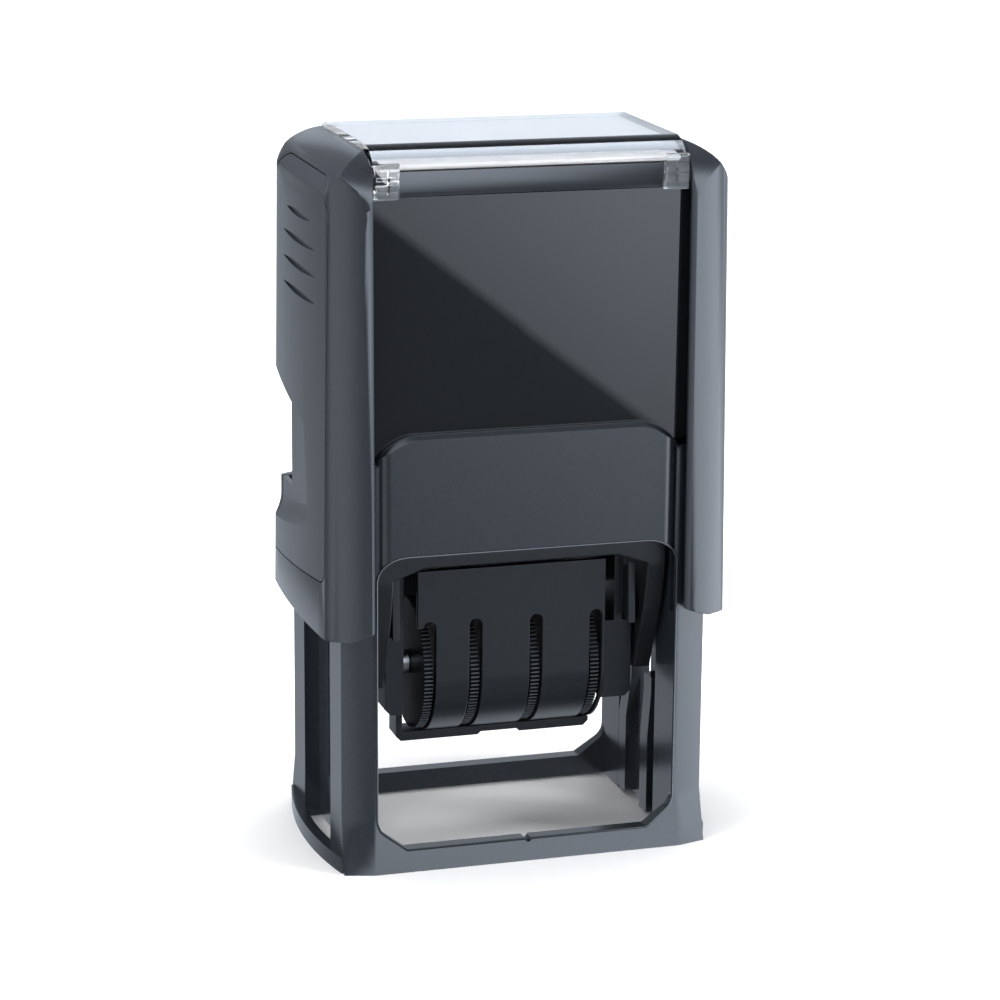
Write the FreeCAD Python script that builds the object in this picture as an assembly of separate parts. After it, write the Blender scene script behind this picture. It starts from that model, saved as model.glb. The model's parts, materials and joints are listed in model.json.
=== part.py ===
# Self-inking date stamp: a base frame, a casing that slides down over it, a platen that turns over, and a date unit.
# Millimetres. X to the right, Y to the back, Z up. The origin is the middle of the foot, on the paper.
import FreeCAD, Part
import math
import os

V = FreeCAD.Vector

# Overall
HEIGHT = 97.8  # paper to the top of the clear index window
STROKE = 24.0  # how far the casing is pressed down
PASS = 3.0  # how far a cutting tool runs past a face
SEAM = 0.15  # gap round a piece that is snapped into another
SLIDE_GAP = 0.3  # gap between pieces that slide past each other
TINY = 0.001

# Foot of the frame
FOOT_Y = 17.0
FOOT_FLAT_X = 21.0
FOOT_CORNER_X = 25.6
FOOT_CORNER_Y = 15.9
FOOT_BOW_X = 27.6
FOOT_BAR_H = 2.95
FOOT_RIM_H = 2.2
FOOT_RIM_T = 1.5
FOOT_RIM_Y = 15.0
FLARE_TOP = 7.3

# Frame above the foot
FACE_Y = 15.4
PLATE_T = 1.2
INNER_X = 20.95
POST_X = 25.5
POST_CORNER_Y = 13.9
POST_FACET_X = 21.6
POST_BACK_Y = 7.6
POST_TOP = 56.4
WALL_X = 22.2
WALL_T = 1.2
RAIL_TOP = 44.9
RAIL_H = 1.4
WALL_LOW = 0.6
REAR_BAR_LOW = 42.0
WINDOW_LOW_X = 17.0
WINDOW_BEND_X = 19.95
WINDOW_BEND_Z = 5.15
WINDOW_BEND_MID_X = 20.69
WINDOW_BEND_MID_Z = 6.03
WINDOW_LOW_SIDE_Z = 7.15
WINDOW_TOP = 43.6
WINDOW_TOP_X = 16.6
WINDOW_TOP_MID_X = 19.6
WINDOW_TOP_MID_Z = 42.7
WINDOW_TOP_SIDE_Z = 40.6
BAND_TOP = 59.9
BAND_FLAT_X = 15.6
BAND_BEND_X = 18.9
BAND_BEND_Z = 58.7
BAND_BEVEL = 0.5
BAND_ROLL_X = 18.9
BAND_ROLL_MID_X = 19.9
BAND_ROLL_MID = 0.2
BAND_ROLL_END_X = 20.6
BAND_ROLL = 0.65
DECK_LOW = 54.0
DECK_T = 1.2
DECK_FRONT_Y = 12.5
DECK_REAR_Y = 8.0
NOTCH_R = 0.45

# Cam ribs on the inner side walls
RIB_X = 20.85
RIB_TOP = 21.0
RIB_BEND_HIGH = 18.6
RIB_BEND_LOW = 12.0
RIB_W = 3.0
GROOVE_FRONT_HIGH = 3.3
GROOVE_FRONT_LOW = 2.1
GROOVE_REAR_HIGH = 2.1
GROOVE_REAR_LOW = 4.2

# Casing
CASING_LOW = 33.0
CASING_TIP_RISE = 1.2
PILLAR_X = 21.6
PILLAR_ROUND = 0.8
PILLAR_Y = 17.8
PILLAR_MID_X = 24.9
PILLAR_MID_Y = 17.1
PILLAR_END_X = 26.7
PILLAR_END_Y = 16.2
CORNER_X = 27.55
CORNER_Y = 15.6
SIDE_X = 27.95
SIDE_Y = 14.8
SIDE_BOW_X = 28.6
TAPER_X = 0.7  # how much narrower the casing is at its top, each side
TAPER_Y = 0.8
CASING_WALL = 1.2
SHOULDER_R = 7.0
SHOULDER_DROP = 0.5  # drops are measured down from the top of the index window
SHOULDER_X = 21.4
SHOULDER_MID_X = 23.3
SHOULDER_MID_DROP = 1.3
SHOULDER_BEND_X = 24.9
SHOULDER_BEND_DROP = 2.4
SHOULDER_OUT_X = 27.2
SHOULDER_OUT_DROP = 5.6
SHOULDER_LOW_X = 28.2
SHOULDER_LOW_DROP = 11.0
ROOF_DROP = 1.9
ROOF_T = 3.9
ROOF_FLAT_Y = 10.6
BAR_BELOW_ROOF = 0.5
BAR_H = 3.2
BAR_Y = 14.9
BAR_T = 1.6
ROOF_TOP = HEIGHT - ROOF_DROP
ROOF_LOW = ROOF_TOP - ROOF_T
BAR_LOW = ROOF_LOW - BAR_BELOW_ROOF
BAR_TOP = BAR_LOW + BAR_H

# Panels
PANEL_Y = 14.05
PANEL_T = 1.15
PANEL_X = 20.7
PANEL_WIDE_X = 22.4
PANEL_STEP_Z = 57.2
PANEL_LOW = 53.0
PANEL_HANGER_H = 3.0
REAR_PANEL_Y = 15.7
REAR_PANEL_X = 21.4
REAR_PANEL_LOW = 55.0
SIDE_PANEL_Y = 14.6
SIDE_PANEL_DROP = 4.0
SIDE_PANEL_LOW_FRONT = 40.5
SIDE_PANEL_LOW_REAR = 38.0
SIDE_PANEL_R = 5.5
SIDE_PANEL_FOOT_R = 2.0
GRIP_COUNT = 4
GRIP_DROP = 10.2
GRIP_PITCH = 3.5
GRIP_Y = -1.2
GRIP_HALF = 8.85
GRIP_TOP_HALF = 6.5
GRIP_HALF_H = 0.42
GRIP_DEPTH = 0.45
GRIP_BED_X = 28.05

# Opening in each side that runs round the rear corner, with a hollow for the fingers in front of it
HOLE_TOP_Y = -5.2
HOLE_TOP_Z = 60.1
HOLE_FRONT_Y = -7.4
HOLE_LOW_Z = 45.3
HOLE_REAR_LOW_Z = 40.7
HOLE_REAR_TOP_Z = 64.9
LEDGE_TOP = 48.0
HOLLOW_X = 26.7
HOLLOW_T = 0.7
HOLLOW_REAR_Y = 9.0
HOLLOW_R = 3.0
SCOOP_R = 5.0
SCOOP_WALL_LOW = 41.5

# Carrier inside the casing
ARM_IN = 23.75
ARM_OUT = 25.2
ARM_HALF = 4.0
YOKE_T = 1.5

# Index window and card
LID_T = 1.3
LID_X = 21.2
LID_FLAT_Y = 10.8
LID_DEPTH = 2.6
CLIP_W = 3.2
CLIP_DROP = 1.9
CLIP_H = 4.6
CLIP_T = 0.9
CARD_T = 0.35
CARD_MARGIN = 0.8

# Platen
PIVOT_Z = 34.0
PIN_R = 1.8
PIN_FIT = 0.06
SLOT_FIT = 0.35
PLATEN_X = 20.4
PLATEN_Y = 12.4
PLATEN_TOP = 43.1
PLATEN_T = 1.2
SKIRT_LOW = 41.0
SKIRT_SIDE_LOW = 39.5
SKIRT_FLAT_X = 13.5
SKIRT_T = 1.1
CHEEK_X = 17.85
CHEEK_WAIST_Y = 10.9
CHEEK_WAIST_Z = 33.0
CHEEK_KNEE_Y = 8.4
CHEEK_KNEE_Z = 27.0
CHEEK_FOOT_Y = 6.8
CHEEK_LOW = 22.9
DIE_TOP = 44.0
DIE_Y = 12.0
DIE_X = 19.6

# Date unit
WHEEL_Z = 24.3
WHEEL_R = 9.3
WHEEL_T = 1.2
DATE_WHEELS_X = (-12.1, -5.6, 2.95, 11.5)
DATE_BANDS_X = ((-11.3, -9.0), (-8.6, -6.35), (-4.6, 2.1), (3.9, 10.6))
HUB_MARGIN = 0.15
TOOTH_COUNT = 36
TOOTH_DEPTH = 0.4
HUB_R = 4.9
SHAFT_R = 1.1
COLLAR_R = 1.7
BAND_GAP = 0.15
BAND_T = 0.8
BAND_HEAD_Y = 2.9
SLOT_MARGIN = 0.35
COVER_R = 9.6
COVER_T = 0.9
COVER_TOP = 39.8
COVER_LEFT = -13.8
COVER_RIGHT = 12.8
COVER_SLOT_W = 1.8
COVER_SLOT_TOP = 32.6
COVER_FOOT_Y = 1.6
HOUSE_IN = 15.0
BLOCK_Y = 6.8
BLOCK_LOW = 18.9
BLOCK_GAP = 0.25
BLOCK_OUT = CHEEK_X - BLOCK_GAP
HOUSE_STEP = 1.4
HOUSE_OUT = BLOCK_OUT - HOUSE_STEP
BLOCK_TOP = 30.0
BLOCK_BEVEL = 0.8
BLOCK_LEFT = 15.0
BLOCK_RIGHT = 13.2
LEG_LEFT = 13.9
LEG_RIGHT = 12.35
LEG_TOP = 21.0
LEG_LEFT_Y = 1.9
LEG_RIGHT_Y = 1.3
SILL_LOW = 13.35
SILL_T = 1.3
SILL_END = 0.7
SILL_LEFT = 14.8
SILL_RIGHT = 13.1
SILL_Y = 1.9
SILL_RISE = 0.4
SILL_RISE_X = 3.0
BRIDGE_Y = 1.7
BRIDGE_LOW = 34.2
BRIDGE_TOP = 42.5
BRIDGE_BEVEL = 0.5
GUSSET_T = 1.0
GUSSET_Y = (1.7, -9.5, -9.1)
GUSSET_Z = (33.4, 30.3, 38.9)

# Ink pad cartridge
TRAY_X = 21.9
TRAY_FRONT = 12.0
TRAY_REAR = 13.6
TRAY_LOW = 45.1
TRAY_TOP = 53.7
TRAY_T = 1.2
PAD_FACE = 44.95
PAD_TOP = 50.2
WING_X = 25.4
WING_FRONT = 8.4
WING_LOW = 48.3
WING_NOTCH = 1.8
WING_NOTCH_H = 0.5
WING_BULGE = 0.6
WING_BULGE_H = 2.6
WING_TOP_Y = 11.0
WING_TOP_H = 5.0

# Return springs, as the plain sleeves that they fill
SPRING_X = 13.5
SPRING_R = 3.4
SPRING_BORE_R = 2.6
SPIGOT_R = 1.9
SPIGOT_H = 4.0


def at(plane, a, b, level):
    """A point of one of the three planes, where level is the place along the plane's normal."""
    return {"xy": V(a, b, level), "xz": V(a, level, b), "yz": V(level, a, b)}[plane]


def outline(plane, level, start, *steps):
    """A closed outline. A step is one point for a line, or two points for an arc through the first."""
    here = at(plane, *start, level)
    first = here
    edges = []
    for step in steps:
        if isinstance(step[0], tuple):
            end = at(plane, *step[1], level)
            edges.append(Part.Arc(here, at(plane, *step[0], level), end).toShape())
        else:
            end = at(plane, *step, level)
            if here.distanceToPoint(end) > TINY:
                edges.append(Part.makeLine(here, end))
        here = end
    if here.distanceToPoint(first) > TINY:
        edges.append(Part.makeLine(here, first))
    return Part.Wire(edges)


def prism(plane, low, high, start, *steps):
    """The outline pushed from low to high along the plane's normal."""
    far = high - low
    along = {"xy": V(0, 0, far), "xz": V(0, far, 0), "yz": V(far, 0, 0)}[plane]
    return Part.Face(outline(plane, low, start, *steps)).extrude(along)


def box(x0, x1, y0, y1, z0, z1):
    return Part.makeBox(x1 - x0, y1 - y0, z1 - z0, V(x0, y0, z0))


def rod(radius, x0, x1, y, z):
    """A round bar along X."""
    return Part.makeCylinder(radius, x1 - x0, V(x0, y, z), V(1, 0, 0))


def across(shape):
    """The same shape on the other side."""
    return shape.mirror(V(0, 0, 0), V(1, 0, 0))


def behind(shape):
    """The same shape at the back."""
    return shape.mirror(V(0, 0, 0), V(0, 1, 0))


def joined(shapes):
    return shapes[0].fuse(shapes[1:]).removeSplitter()


def window_tool(y0, y1):
    """The frame's window: eased slanting corners below, round ones above."""
    bend = (WINDOW_TOP_MID_X, WINDOW_TOP_MID_Z)
    low = (WINDOW_BEND_MID_X, WINDOW_BEND_MID_Z)
    return prism(
        "xz", y0, y1, (-WINDOW_LOW_X, FOOT_BAR_H), (WINDOW_LOW_X, FOOT_BAR_H), (WINDOW_BEND_X, WINDOW_BEND_Z),
        (low, (INNER_X, WINDOW_LOW_SIDE_Z)), (INNER_X, WINDOW_TOP_SIDE_Z), (bend, (WINDOW_TOP_X, WINDOW_TOP)),
        (-WINDOW_TOP_X, WINDOW_TOP), ((-bend[0], bend[1]), (-INNER_X, WINDOW_TOP_SIDE_Z)),
        (-INNER_X, WINDOW_LOW_SIDE_Z), ((-low[0], low[1]), (-WINDOW_BEND_X, WINDOW_BEND_Z)))


def foot_face(level, draw_in):
    """The foot's plan, or the same drawn in."""
    y = FOOT_Y - draw_in
    x = FOOT_CORNER_X - draw_in
    corner_y = FOOT_CORNER_Y - draw_in
    bow = FOOT_BOW_X - draw_in
    return Part.Face(outline(
        "xy", level, (-FOOT_FLAT_X, -y), (FOOT_FLAT_X, -y), (x, -corner_y), ((bow, 0), (x, corner_y)),
        (FOOT_FLAT_X, y), (-FOOT_FLAT_X, y), (-x, corner_y), ((-bow, 0), (-x, -corner_y))))


def foot_rim():
    """The thin bowed rim at each side, from the front foot to the rear one."""
    slab = foot_face(0, 0).extrude(V(0, 0, FOOT_RIM_H))
    slab = slab.common(box(-FOOT_BOW_X, FOOT_BOW_X, -FOOT_RIM_Y, FOOT_RIM_Y, 0, FOOT_RIM_H))
    return slab.cut(foot_face(-PASS, FOOT_RIM_T).extrude(V(0, 0, FOOT_RIM_H + 2 * PASS)))


def post(top):
    """The right front corner post with its flare at the foot."""
    high = outline(
        "xy", FLARE_TOP, (INNER_X, -FACE_Y), (POST_FACET_X, -FACE_Y), (POST_X, -POST_CORNER_Y),
        (POST_X, -POST_BACK_Y), (INNER_X, -POST_BACK_Y))
    low = outline(
        "xy", 0, (INNER_X, -FOOT_Y), (POST_FACET_X, -FOOT_Y), (FOOT_CORNER_X, -FOOT_CORNER_Y),
        (FOOT_CORNER_X, -POST_BACK_Y), (INNER_X, -POST_BACK_Y))
    flare = Part.makeLoft([low, high], True, True)
    shaft = Part.Face(high).extrude(V(0, 0, top - FLARE_TOP))
    inside = -FACE_Y + PLATE_T
    bay = box(0, WALL_X, inside, 0, RAIL_TOP, top + PASS)
    slot_low = PANEL_STEP_Z - STROKE - SLIDE_GAP
    panel_slot = box(0, PANEL_WIDE_X + SLIDE_GAP, inside, -PANEL_Y + PANEL_T + SLIDE_GAP, slot_low, top + PASS)
    return flare.fuse(shaft).cut([bay, panel_slot])


def foot_bar():
    """The front bar across the foot, flared to the paper."""
    inner = FACE_Y - PLATE_T
    bar = prism(
        "yz", -INNER_X - TINY, INNER_X + TINY, (-FOOT_Y, 0), (-inner, 0), (-inner, FLARE_TOP), (-FACE_Y, FLARE_TOP))
    return bar.cut(window_tool(-FOOT_Y - PASS, 0))


def band_wire(level, draw_in):
    """The bare band's outline with its round top corners."""
    bend_x = BAND_BEND_X - draw_in / 2
    bend_z = BAND_BEND_Z - draw_in
    flat = BAND_FLAT_X - draw_in / 2
    low = WINDOW_TOP_SIDE_Z - PASS
    return outline(
        "xz", level, (-INNER_X, low), (INNER_X, low), (INNER_X, POST_TOP - draw_in),
        ((bend_x, bend_z), (flat, BAND_TOP - draw_in)), (-flat, BAND_TOP - draw_in),
        ((-bend_x, bend_z), (-INNER_X, POST_TOP - draw_in)))


def front_band():
    """The wall above the window, with a bevel along its top edge."""
    back = Part.Face(band_wire(-FACE_Y + BAND_BEVEL, 0)).extrude(V(0, PLATE_T - BAND_BEVEL, 0))
    front = Part.makeLoft([band_wire(-FACE_Y + BAND_BEVEL, 0), band_wire(-FACE_Y, BAND_BEVEL)], True, True)
    roll = prism(
        "xy", WINDOW_TOP_SIDE_Z - PASS, BAND_TOP, (BAND_ROLL_X, -FACE_Y),
        ((BAND_ROLL_MID_X, -FACE_Y + BAND_ROLL_MID), (BAND_ROLL_END_X, -FACE_Y + BAND_ROLL)),
        (BAND_ROLL_END_X, -FACE_Y - PASS), (BAND_ROLL_X, -FACE_Y - PASS))
    return back.fuse(front).cut([window_tool(-FACE_Y - PASS, 0), roll, across(roll)])


def cam_rib(side):
    """A rib beside the bent groove: side is 1 for the rear one and -1 for the front one."""
    high = GROOVE_REAR_HIGH if side > 0 else GROOVE_FRONT_HIGH
    low = GROOVE_REAR_LOW if side > 0 else GROOVE_FRONT_LOW
    return prism(
        "yz", RIB_X, WALL_X + TINY, (side * low, WALL_LOW), (side * low, RIB_BEND_LOW),
        (side * high, RIB_BEND_HIGH), (side * high, RIB_TOP), (side * (high + RIB_W), RIB_TOP),
        (side * (high + RIB_W), RIB_BEND_HIGH), (side * (low + RIB_W), RIB_BEND_LOW), (side * (low + RIB_W), WALL_LOW))


def side_wall():
    """The right side wall between the posts, with the rail for the cartridge, the cam ribs and the pin slot."""
    deck_top = DECK_LOW + DECK_T
    wall = box(WALL_X, WALL_X + WALL_T, -POST_BACK_Y - SEAM, POST_BACK_Y + SEAM, WALL_LOW, deck_top)
    rail = box(INNER_X, WALL_X + TINY, -POST_BACK_Y - SEAM, POST_BACK_Y + SEAM, RAIL_TOP - RAIL_H, RAIL_TOP)
    half = PIN_R + SLOT_FIT
    slot = prism(
        "yz", RIB_X - PASS, WALL_X + WALL_T + PASS, (-half, PIVOT_Z - STROKE - half), (half, PIVOT_Z - STROKE - half),
        (half, PIVOT_Z), ((0, PIVOT_Z + half), (-half, PIVOT_Z)))
    return joined([wall, rail, cam_rib(1), cam_rib(-1)]).cut(slot)


def spigot(x, z, up):
    """A short peg that keeps a return spring on its seat."""
    return Part.makeCylinder(SPIGOT_R, SPIGOT_H, V(x, 0, z), V(0, 0, up))


def base_frame():
    """Everything that stands still on the paper, in one moulding."""
    rear_bar = box(-INNER_X - TINY, INNER_X + TINY, FACE_Y - PLATE_T, FACE_Y, REAR_BAR_LOW - PASS, RAIL_TOP)
    rear_bar = rear_bar.cut(window_tool(0, FACE_Y + PASS))
    deck = box(-WALL_X - WALL_T, WALL_X + WALL_T, -DECK_FRONT_Y, DECK_REAR_Y, DECK_LOW, DECK_LOW + DECK_T)
    pieces = [foot_rim(), foot_bar(), behind(foot_bar()), front_band(), rear_bar, deck]
    front_post = post(POST_TOP)
    rear_post = behind(post(RAIL_TOP))
    wall = side_wall()
    for piece in (front_post, rear_post, wall):
        pieces += [piece, across(piece)]
    pieces += [spigot(x, DECK_LOW + DECK_T, 1) for x in (-SPRING_X, SPRING_X)]
    mark = Part.makeCylinder(NOTCH_R, FOOT_Y, V(0, -FOOT_Y, FOOT_BAR_H), V(0, 1, 0))
    return joined(pieces).cut(mark)


def casing_wire(level, draw_in):
    """The casing's plan at a height: a round pillar at each corner and sides that bow out, narrower at the top."""
    share = (level - CASING_LOW) / (HEIGHT - CASING_LOW)
    dx = TAPER_X * share + draw_in
    dy = TAPER_Y * share + draw_in

    def place(x, y, sx, sy):
        return (sx * (x - dx), sy * (y - dy))

    def pillar(sx, sy):
        """The pillar's inner edge, and then the steps round it to the side."""
        inner = (sx * (PILLAR_X - draw_in), sy * (PILLAR_Y - dy))
        front = place(PILLAR_MID_X, PILLAR_MID_Y, sx, sy), place(PILLAR_END_X, PILLAR_END_Y, sx, sy)
        return inner, front, place(CORNER_X, CORNER_Y, sx, sy), place(SIDE_X, SIDE_Y, sx, sy)

    steps = []
    for sx, sy in ((1, -1), (-1, 1)):
        inner, (mid, end), corner, side = pillar(sx, sy)
        other_inner, (other_mid, other_end), other_corner, other_side = pillar(sx, -sy)
        bow = (sx * (SIDE_BOW_X - dx), 0)
        steps += [inner, (mid, end), (corner, side), (bow, other_side), (other_corner, other_end)]
        steps += [(other_mid, other_inner)]
    return outline("xy", level, steps[0], *steps[1:])


def casing_hull(draw_in):
    """The casing's outside as one block, or the same block drawn in for its inner face."""
    low = CASING_LOW - (PASS if draw_in else 0)
    plan = Part.makeLoft([casing_wire(low, draw_in), casing_wire(HEIGHT, draw_in)], True, True)
    y = PILLAR_Y - TAPER_Y - draw_in
    top = HEIGHT - SHOULDER_DROP - draw_in
    bend = SHOULDER_R * (1 - math.sqrt(1 / 2))
    far = PILLAR_Y + PASS
    side_view = prism(
        "yz", -2 * SIDE_BOW_X, 2 * SIDE_BOW_X, (-far, low), (far, low), (far, top - SHOULDER_R),
        (y, top - SHOULDER_R), ((y - bend, top - bend), (y - SHOULDER_R, top)), (-y + SHOULDER_R, top),
        ((-y + bend, top - bend), (-y, top - SHOULDER_R)), (-far, top - SHOULDER_R))
    high = HEIGHT - draw_in
    wide = SHOULDER_LOW_X - draw_in
    wide_z = high - SHOULDER_LOW_DROP
    out = (SHOULDER_OUT_X - draw_in, high - SHOULDER_OUT_DROP)
    turn = (SHOULDER_BEND_X - draw_in / 2, high - SHOULDER_BEND_DROP)
    mid = (SHOULDER_MID_X - draw_in / 2, high - SHOULDER_MID_DROP)
    far = SIDE_BOW_X + PASS
    front_view = prism(
        "xz", -2 * PILLAR_Y, 2 * PILLAR_Y, (-far, low), (far, low), (far, wide_z), (wide, wide_z), (out, turn),
        (mid, (SHOULDER_X, top)), (-SHOULDER_X, top), ((-mid[0], mid[1]), (-turn[0], turn[1])),
        ((-out[0], out[1]), (-wide, wide_z)), (-far, wide_z))
    return plan.common(side_view).common(front_view)


def side_panel_block(grow):
    """The side panel's outline seen from the side, through the right wall, or the same grown for its seam."""
    y = SIDE_PANEL_Y + grow
    top = HEIGHT - SIDE_PANEL_DROP + grow
    low_front = SIDE_PANEL_LOW_FRONT - grow
    low_rear = SIDE_PANEL_LOW_REAR - grow
    bend = SIDE_PANEL_R * (1 - math.sqrt(1 / 2))
    foot = SIDE_PANEL_FOOT_R
    foot_bend = foot * (1 - math.sqrt(1 / 2))
    return prism(
        "yz", ARM_OUT, SIDE_BOW_X + PASS, (-y, low_front + foot), (-y, top - SIDE_PANEL_R),
        ((-y + bend, top - bend), (-y + SIDE_PANEL_R, top)), (y - SIDE_PANEL_R, top),
        ((y - bend, top - bend), (y, top - SIDE_PANEL_R)), (y, low_rear), (-y + foot, low_front),
        ((-y + foot_bend, low_front + foot_bend), (-y, low_front + foot)))


def hole_top(y):
    """The height of the side opening's upper edge, which climbs towards the back."""
    share = (y - HOLE_TOP_Y) / (PILLAR_Y + PASS - HOLE_TOP_Y)
    return HOLE_TOP_Z + share * (HOLE_REAR_TOP_Z - HOLE_TOP_Z)


def finger_hollow():
    """What is cut away on the right for the fingers: rounded in front and below, and flat where it is deepest."""
    wide = 2 * SIDE_BOW_X
    bend = HOLLOW_R * (1 - math.sqrt(1 / 2))
    front = prism(
        "xy", 0, 2 * HEIGHT, (HOLLOW_X, HOLE_FRONT_Y + HOLLOW_R),
        ((HOLLOW_X + bend, HOLE_FRONT_Y + bend), (HOLLOW_X + HOLLOW_R, HOLE_FRONT_Y)), (wide, HOLE_FRONT_Y),
        (wide, wide), (HOLLOW_X, wide))
    lean = math.degrees(math.atan2(HOLE_TOP_Y - HOLE_FRONT_Y, HOLE_TOP_Z - LEDGE_TOP))
    front.rotate(V(0, HOLE_FRONT_Y, LEDGE_TOP), V(1, 0, 0), -lean)
    bend = SCOOP_R * (1 - math.sqrt(1 / 2))
    below = prism(
        "xz", -wide, wide, (HOLLOW_X, HOLE_LOW_Z + SCOOP_R),
        ((HOLLOW_X + bend, HOLE_LOW_Z + bend), (HOLLOW_X + SCOOP_R, HOLE_LOW_Z)), (wide, HOLE_LOW_Z),
        (wide, 2 * HEIGHT), (HOLLOW_X, 2 * HEIGHT))
    fall = math.degrees(math.atan2(HOLE_LOW_Z - HOLE_REAR_LOW_Z, SIDE_Y - HOLE_FRONT_Y))
    below.rotate(V(0, HOLE_FRONT_Y, HOLE_LOW_Z), V(1, 0, 0), -fall)
    far = PILLAR_Y + PASS
    under = prism(
        "yz", 0, wide, (-far, 0), (far, 0), (far, HOLE_REAR_TOP_Z), (HOLE_TOP_Y, HOLE_TOP_Z), (-far, HOLE_TOP_Z))
    return front.common(below).common(under)


def side_openings():
    """The tools that open the right side: the hole round the corner, its hollow and the tray's way out."""
    far_x = SIDE_BOW_X + PASS
    far_y = PILLAR_Y + PASS
    hole = prism(
        "yz", PILLAR_X - PASS, far_x, (HOLLOW_REAR_Y, LEDGE_TOP), (far_y, LEDGE_TOP), (far_y, HOLE_REAR_TOP_Z),
        (HOLLOW_REAR_Y, hole_top(HOLLOW_REAR_Y)))
    way_out = box(
        PILLAR_X - PASS, TRAY_X + SLIDE_GAP, WING_FRONT, far_y, TRAY_LOW - SLIDE_GAP, LEDGE_TOP + TINY)
    return [hole, finger_hollow(), way_out]


def hollow_wall():
    """The room of the wall behind the finger hollow and of the ledge that runs on from it round the corner."""
    low_x = HOLLOW_X - HOLLOW_T
    far_x = SIDE_BOW_X + PASS
    front = HOLE_FRONT_Y - HOLLOW_T
    upper = box(low_x, far_x, front, HOLLOW_REAR_Y, SCOOP_WALL_LOW, hole_top(HOLLOW_REAR_Y) + HOLLOW_T)
    ledge = box(low_x, far_x, front, PILLAR_Y + PASS, SCOOP_WALL_LOW, LEDGE_TOP)
    return upper.fuse(ledge).common(casing_hull(0))


def roof_clearance():
    """What is cut away above the roof and in front of its bars, between the pillars."""
    wide = PILLAR_X
    far = PILLAR_Y + PASS
    mid_y = (ROOF_FLAT_Y + BAR_Y) / 2
    mid_z = ROOF_TOP - (ROOF_TOP - BAR_TOP) / 4
    low = BAR_LOW - PASS
    return prism(
        "yz", -wide, wide, (-far, low), (-BAR_Y, low), (-BAR_Y, BAR_TOP),
        ((-mid_y, mid_z), (-ROOF_FLAT_Y, ROOF_TOP)), (ROOF_FLAT_Y, ROOF_TOP),
        ((mid_y, mid_z), (BAR_Y, BAR_TOP)), (BAR_Y, low), (far, low), (far, HEIGHT + PASS), (-far, HEIGHT + PASS))


def pillar_round():
    """What is cut away to round the inner edge of the right front pillar."""
    bend = PILLAR_ROUND * (1 - math.sqrt(1 / 2))
    wires = []
    for level, taper in ((CASING_LOW, 0), (HEIGHT, TAPER_Y)):
        y = PILLAR_Y - taper
        wires.append(outline(
            "xy", level, (PILLAR_X, -y + PILLAR_ROUND), ((PILLAR_X + bend, -y + bend), (PILLAR_X + PILLAR_ROUND, -y)),
            (PILLAR_X + PILLAR_ROUND, -y - PASS), (PILLAR_X - PASS, -y - PASS), (PILLAR_X - PASS, -y + PILLAR_ROUND)))
    return Part.makeLoft(wires, True, True)


def casing():
    """Roof, four pillars and the strips below the side panels."""
    room = casing_hull(CASING_WALL).common(
        box(-2 * SIDE_BOW_X, 2 * SIDE_BOW_X, -SIDE_BOW_X, SIDE_BOW_X, 0, ROOF_LOW))
    room = room.cut([hollow_wall(), across(hollow_wall())])
    gap = box(-PILLAR_X, PILLAR_X, -SIDE_BOW_X, SIDE_BOW_X, 0, ROOF_LOW)
    panel_hole = side_panel_block(SEAM)
    tip = prism(
        "xz", -SIDE_BOW_X, SIDE_BOW_X, (PILLAR_X - PASS, CASING_LOW - PASS), (PILLAR_MID_X, CASING_LOW - PASS),
        (PILLAR_MID_X, CASING_LOW), (PILLAR_X, CASING_LOW + CASING_TIP_RISE),
        (PILLAR_X - PASS, CASING_LOW + CASING_TIP_RISE))
    tools = side_openings() + [panel_hole, tip, pillar_round(), behind(pillar_round())]
    tools += [across(tool) for tool in tools]
    shell = casing_hull(0).cut([room, gap, roof_clearance()] + tools)
    bar = box(-PILLAR_X - SEAM, PILLAR_X + SEAM, -BAR_Y, -BAR_Y + BAR_T, BAR_LOW, ROOF_LOW + SEAM)
    return joined([shell, bar, behind(bar)])


def front_panel():
    """The glossy sheet that hangs behind the front bar and slides down behind the band, wider above the posts."""
    top = BAR_LOW - SEAM
    sheet = box(-PANEL_X, PANEL_X, -PANEL_Y, -PANEL_Y + PANEL_T, PANEL_LOW, top)
    wide = box(-PANEL_WIDE_X, PANEL_WIDE_X, -PANEL_Y, -PANEL_Y + PANEL_T, PANEL_STEP_Z, top)
    tab_y = -BAR_Y + BAR_T + SEAM
    tab = box(-PANEL_X, PANEL_X, tab_y, tab_y + PANEL_T, top - PANEL_HANGER_H, ROOF_LOW - SEAM)
    return joined([sheet, wide, tab])


def rear_panel():
    """The plain back between the rear pillars, above the way out for the cartridge."""
    top = BAR_LOW - SEAM
    back = REAR_PANEL_Y + PANEL_T
    sheet = box(-REAR_PANEL_X, REAR_PANEL_X, REAR_PANEL_Y, back, REAR_PANEL_LOW, top)
    tab_y = BAR_Y - BAR_T - SEAM
    tab = box(-PANEL_X, PANEL_X, tab_y - PANEL_T, tab_y, top - PANEL_HANGER_H, ROOF_LOW - SEAM)
    web = box(-PANEL_X, PANEL_X, tab_y - TINY, REAR_PANEL_Y + TINY, top - PANEL_HANGER_H, top)
    return joined([sheet, tab, web]).common(casing_hull(0))


def groove(index):
    """One leaf-shaped grip groove, pointed at both ends."""
    half = GRIP_TOP_HALF if index == 0 else GRIP_HALF
    z = HEIGHT - GRIP_DROP - index * GRIP_PITCH
    return prism(
        "yz", GRIP_BED_X - GRIP_DEPTH, GRIP_BED_X + PASS, (GRIP_Y - half, z),
        ((GRIP_Y, z + GRIP_HALF_H), (GRIP_Y + half, z)), ((GRIP_Y, z - GRIP_HALF_H), (GRIP_Y - half, z)))


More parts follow.
